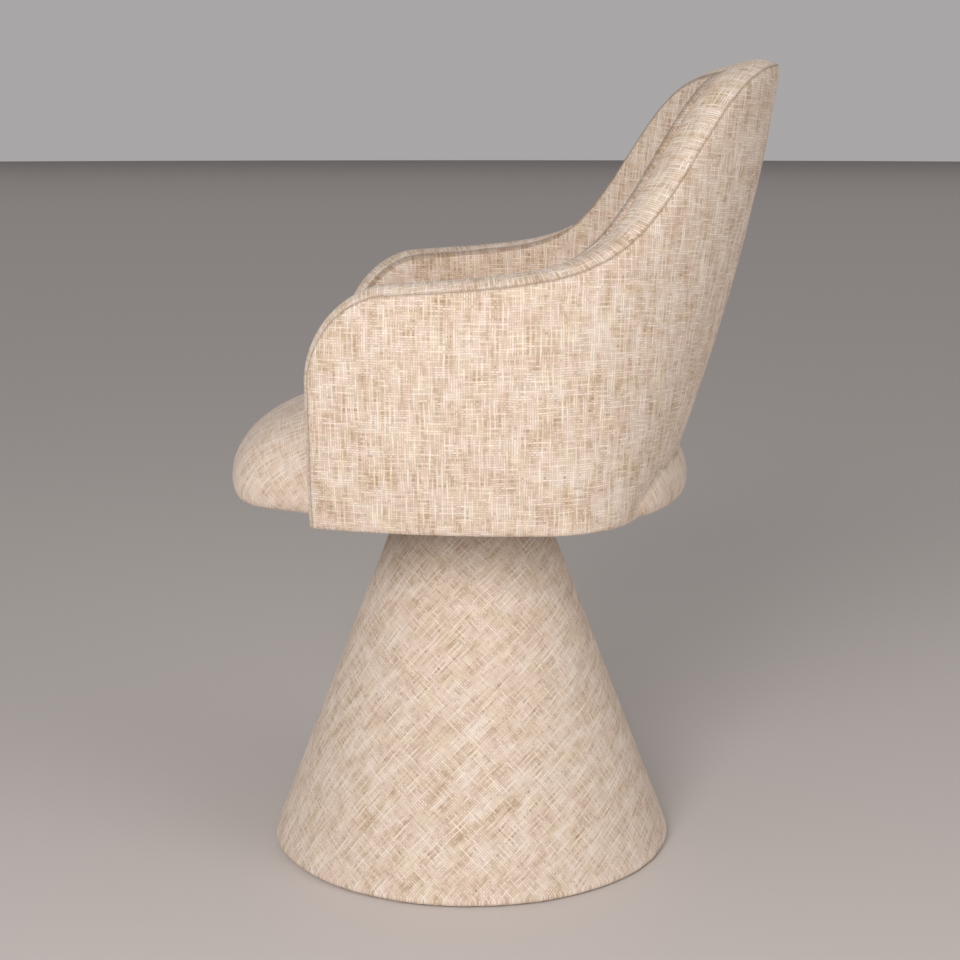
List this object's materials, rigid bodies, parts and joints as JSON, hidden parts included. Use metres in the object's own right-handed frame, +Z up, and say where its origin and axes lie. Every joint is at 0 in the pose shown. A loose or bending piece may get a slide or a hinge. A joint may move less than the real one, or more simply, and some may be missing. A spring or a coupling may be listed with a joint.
{
  "type": "swivel dining chair",
  "caption": "Armchair-style dining chair: one curved upholstered shell of arms and back round a thick seat pad, turning on a fabric-covered cone pedestal.",
  "frame": {"origin": "on the swivel axis, in the plane of the foot ring's underside", "axes": "+Z up along the swivel axis; -Y the way the chair faces at rest; +X to the sitter's left, across the chair's mirror plane"},
  "size_m": [0.544, 0.5855, 0.858],
  "materials": {
    "upholstery": "matte",
    "pedestal_fabric": "matte",
    "foam": "matte",
    "dust_cloth": "matte",
    "plywood": "matte",
    "glide_plastic": "matte",
    "cage_plastic": "satin",
    "ballast_iron": "matte",
    "black_steel": "satin",
    "zinc_steel": "satin",
    "race_steel": "satin",
    "ball_steel": "polished"
  },
  "bodies": {
    "base": {"foot_ring": "glide_plastic", "bottom_disc": "plywood", "ballast_disc": "ballast_iron", "ballast_screws": "zinc_steel", "cone_ribs": "plywood", "top_disc": "plywood", "cone_skin": "plywood", "cone_padding": "foam", "cone_cover": "pedestal_fabric", "lower_swivel_plate": "black_steel", "plate_screws": "zinc_steel", "lower_race": "race_steel", "pivot_bolt": "zinc_steel", "thrust_washer": "zinc_steel", "lock_nut": "zinc_steel"},
    "cage": {"ball_cage": "cage_plastic", "bearing_balls": "ball_steel"},
    "seat": {"upper_race": "race_steel", "upper_swivel_plate": "black_steel", "seat_bolts": "zinc_steel", "tee_nuts": "zinc_steel", "seat_board": "plywood", "shell_straps": "black_steel", "strap_screws": "zinc_steel", "seat_foam": "foam", "seat_cover": "upholstery", "dust_cover": "dust_cloth", "shell_frame": "plywood", "outer_padding": "foam", "inner_padding": "foam", "outer_cover": "upholstery", "inner_cover": "upholstery", "edge_band": "upholstery"}
  },
  "joints": [
    {"name": "swivel", "type": "hinge", "parent": "base", "child": "seat", "pos_m": [0, 0, 0], "axis": [0, 0, 1], "continuous": true},
    {"name": "cage_turn", "type": "hinge", "parent": "base", "child": "cage", "pos_m": [0, 0, 0], "axis": [0, 0, 1], "continuous": true}
  ],
  "couplings": [
    {"joint": "cage_turn", "follows": "swivel", "ratio": 0.5}
  ]
}
